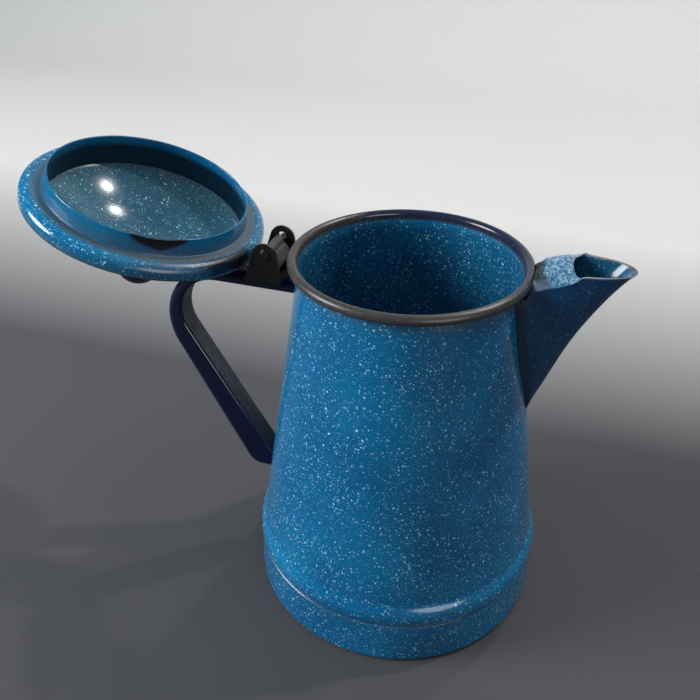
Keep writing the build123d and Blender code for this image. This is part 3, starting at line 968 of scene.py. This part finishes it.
# %% Floor
FLOOR_FRONT, FLOOR_BACK, FLOOR_SIDE, SWEEP_R, SWEEP_TOP = -1.6, 1.0, 2.4, 0.6, 3.0
PALE_FROM, PALE_AT = 130.0, 480.0
DARK_PAPER, PALE_PAPER, SMUDGE = (0.055, 0.056, 0.062), (0.60, 0.595, 0.58), (0.3, 0.3, 0.3)
sweep = [(FLOOR_BACK + SWEEP_R * math.sin(a), SWEEP_R - SWEEP_R * math.cos(a))
         for a in np.linspace(0, math.pi / 2, 24)]
rows = [(FLOOR_FRONT, 0.0)] + sweep + [(FLOOR_BACK + SWEEP_R, SWEEP_TOP)]
floor_mesh = bpy.data.meshes.new("floor")
floor_mesh.from_pydata(
    [(x, y, z) for y, z in rows for x in (-FLOOR_SIDE, FLOOR_SIDE)], [],
    [(2 * i, 2 * i + 1, 2 * i + 3, 2 * i + 2) for i in range(len(rows) - 1)])
floor_mesh.shade_smooth()
floor = bpy.data.objects.new("floor", floor_mesh)
bpy.context.collection.objects.link(floor)

paper = Finish("pale_floor")
_, depth, _ = paper.split("ShaderNodeSeparateXYZ", paper.place)
behind = ((depth - PALE_FROM) / (PALE_AT - PALE_FROM)).clamp()
colour = paper.mix(behind, DARK_PAPER, PALE_PAPER)
colour = paper.mix(paper.noise(60.0, 3.0) * 0.02, colour, SMUDGE)
floor_mesh.materials.append(paper.set(Base_Color=colour, Roughness=0.9))
print(f"floor pales from {PALE_FROM:.0f} to {PALE_AT:.0f} mm behind the pot")

# %% [markdown]
# ## Light
#
# The world gives a soft light from all sides, while what the camera, a gloss or a glass
# sees of it is as dark as the floor. A large window on the left shows the form. The light
# on the right is there only as a reflection, which draws the edge of the wall, and the one
# overhead only lights, because the hollow of the lid would show it as a disc. Two small
# lamps behind the pot give the sharp points that wet-looking glass shows.

# %% World
SOFT_LIGHT, DARK_ROUND = (0.33, 0.36, 0.405), (0.055, 0.060, 0.068)
world = bpy.data.worlds.new("surroundings")
bpy.context.scene.world = world
world.use_nodes = True
sky = world.node_tree
ray = add_node(sky, "ShaderNodeLightPath", output="Is Camera Ray")
seen = ray.either(ray.beside("Is Glossy Ray")).either(ray.beside("Is Transmission Ray"))
feed(sky, sky.nodes["Background"].inputs["Color"],
     mix_colours(sky, seen, SOFT_LIGHT, DARK_ROUND))
print("world nodes:", len(sky.nodes))

# %% Lamps
AIM = Vector((0, 0, 0.1))
DAYLIGHT, WARM_WHITE, LAMPLIGHT = (0.93, 0.97, 1.0), (1.0, 0.95, 0.92), (1.0, 0.97, 0.93)


def lamp(name, place, power, size, colour=LAMPLIGHT, mirrored=True, lights=True):
    """A round light aimed at the pot. It shows in gloss if mirrored, and lights if lights."""
    data = bpy.data.lights.new(name, "AREA")
    data.shape = "DISK"
    data.size = size
    data.energy = power
    data.color = colour
    light = bpy.data.objects.new(name, data)
    light.location = place
    light.visible_glossy = mirrored
    light.visible_diffuse = lights
    light.rotation_euler = (AIM - Vector(place)).to_track_quat("-Z", "Y").to_euler()
    bpy.context.collection.objects.link(light)
    print(f"{name}: {power} W")


lamp("window", (-1.5, -0.65, 0.9), power=34.0, size=0.9, colour=DAYLIGHT)
lamp("side", (0.85, -0.85, 0.42), power=7.0, size=0.80, colour=WARM_WHITE, lights=False)
lamp("ceiling", (0.1, 0.1, 1.9), power=6.5, size=1.1, mirrored=False)
lamp("lamp_right", (0.98, 0.80, 1.80), power=15.0, size=0.09)
lamp("lamp_middle", (0.39, 1.15, 1.80), power=8.0, size=0.09)

# %% [markdown]
# ## Camera
#
# The camera stands where a person would, looking down on the open mouth. It is turned,
# tilted and leant by three angles, and its focal length is given in pixels of the picture.

# %% Camera
CAMERA_AT = Vector((0.0642, -0.2918, 0.3282))
TURN, TILT, LEAN = (math.radians(v) for v in (-17.5, -33.07, 0.46))
SENSOR, PICTURE, FOCAL_PIXELS = 36.0, 700, 740
forward = Vector((math.sin(TURN) * math.cos(TILT), math.cos(TURN) * math.cos(TILT),
                  math.sin(TILT)))
level = forward.cross(Vector((0, 0, 1))).normalized()
lift = level.cross(forward)
right = level * math.cos(LEAN) + lift * math.sin(LEAN)
up = right.cross(forward)
aimed = Matrix((right, up, -forward)).transposed().to_4x4()
eye = bpy.data.cameras.new("camera")
eye.sensor_width = SENSOR
eye.lens = SENSOR * FOCAL_PIXELS / PICTURE
camera = bpy.data.objects.new("camera", eye)
camera.matrix_world = Matrix.Translation(CAMERA_AT) @ aimed
bpy.context.collection.objects.link(camera)
bpy.context.scene.camera = camera
bpy.context.scene.view_settings.view_transform = "Standard"
print(f"lens: {eye.lens:.1f} mm")
